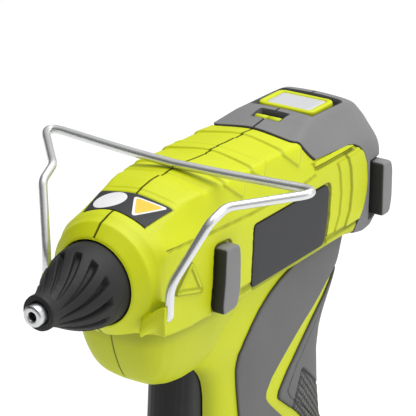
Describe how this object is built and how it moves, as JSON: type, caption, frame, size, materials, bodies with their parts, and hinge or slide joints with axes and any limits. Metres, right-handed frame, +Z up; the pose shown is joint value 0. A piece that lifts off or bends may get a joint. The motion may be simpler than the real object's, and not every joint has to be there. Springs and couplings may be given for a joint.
{
  "type": "cordless glue gun",
  "caption": "Cordless hot glue gun: fluted nozzle cone, clamshell body on a battery pack, pull trigger with a sliding stick feed and a folding wire stand.",
  "frame": {"origin": "centre of the bounding box's underside, on the surface that the battery pack stands on", "axes": "-Y is the way the nozzle points, +X is the gun's left side, +Z is up"},
  "size_m": [0.1082, 0.184, 0.1819],
  "materials": {
    "lime_plastic": "fine moulded grain",
    "grey_rubber": "soft matt overmould",
    "dark_plastic": "satin",
    "black_plastic": "fine moulded grain",
    "black_silicone": "matt",
    "steel": "bright drawn wire and plated steel",
    "aluminium": "turned",
    "red_silicone": "matt",
    "ceramic": "matt, heat resistant",
    "circuit_board": "lacquered",
    "lens": "milky, translucent",
    "red_wire": "satin",
    "black_wire": "satin",
    "cells": "steel can in a blue sleeve"
  },
  "bodies": {
    "gun": {"battery_lead": "red_wire", "button_switch": "black_plastic", "chamber_bracket": "ceramic", "circuit_board": "circuit_board", "front_support_ring": "ceramic", "guide_tube": "black_plastic", "heater_clip": "steel", "heater_lead_live": "red_wire", "heater_lead_return": "black_wire", "housing_screw_1": "steel", "housing_screw_2": "steel", "housing_screw_3": "steel", "housing_screw_4": "steel", "housing_screw_5": "steel", "housing_screw_6": "steel", "housing_screw_7": "steel", "inlet_ring": "black_plastic", "inlet_sleeve": "red_silicone", "left_badge": "dark_plastic", "left_front_grip": "grey_rubber", "left_hang_bar": "lime_plastic", "left_housing": "lime_plastic", "left_palm_grip": "grey_rubber", "left_rear_bumper": "grey_rubber", "left_rear_cover": "grey_rubber", "left_side_pad": "grey_rubber", "melt_chamber": "aluminium", "nozzle": "aluminium", "nozzle_cone": "black_silicone", "ptc_heater": "ceramic", "right_badge": "dark_plastic", "right_front_grip": "grey_rubber", "right_hang_bar": "lime_plastic", "right_housing": "lime_plastic", "right_palm_grip": "grey_rubber", "right_rear_bumper": "grey_rubber", "right_rear_cover": "grey_rubber", "right_side_pad": "grey_rubber", "sleeve_clamp": "steel", "terminal_block": "black_plastic", "top_label": "dark_plastic", "trigger_pin": "steel", "valve_ball": "steel", "valve_spring": "steel"},
    "stand": {"wire_stand": "steel"},
    "trigger": {"trigger": "black_plastic", "trigger_spring": "steel"},
    "feed": {"feed_carriage": "black_plastic", "grip_jaw": "steel"},
    "button": {"power_button": "lime_plastic", "button_lens": "lens"},
    "pack": {"pack_lower_case": "black_plastic", "pack_upper_case": "black_plastic", "battery_cell_1": "cells", "battery_cell_2": "cells", "battery_cell_3": "cells"},
    "left_latch": {"left_latch": "lime_plastic"},
    "right_latch": {"right_latch": "lime_plastic"}
  },
  "joints": [
    {"name": "stand_fold", "type": "hinge", "parent": "gun", "child": "stand", "pos_m": [0, -0.052, 0.1425], "axis": [1, 0, 0], "range_deg": [0, 190]},
    {"name": "trigger_pull", "type": "hinge", "parent": "gun", "child": "trigger", "pos_m": [0, 0.004, 0.128], "axis": [1, 0, 0], "range_deg": [0, 16], "stiffness_Nm_per_rad": 1, "springref_deg": -20.05},
    {"name": "feed_slide", "type": "slide", "parent": "gun", "child": "feed", "axis": [0, -1, 0], "range_m": [0, 0.0072]},
    {"name": "button_press", "type": "slide", "parent": "gun", "child": "button", "axis": [0, 0, -1], "range_m": [0, 0.0015], "stiffness_N_per_m": 400, "springref_m": -0.003},
    {"name": "pack_release", "type": "slide", "parent": "gun", "child": "pack", "axis": [0, 0, -1], "range_m": [0, 0.045]},
    {"name": "left_latch_press", "type": "slide", "parent": "pack", "child": "left_latch", "axis": [-1, 0, 0], "range_m": [0, 0.0025], "stiffness_N_per_m": 500, "springref_m": -0.003},
    {"name": "right_latch_press", "type": "slide", "parent": "pack", "child": "right_latch", "axis": [1, 0, 0], "range_m": [0, 0.0025], "stiffness_N_per_m": 500, "springref_m": -0.003}
  ],
  "couplings": [
    {"joint": "feed_slide", "follows": "trigger_pull", "m_per_rad": 0.024}
  ]
}
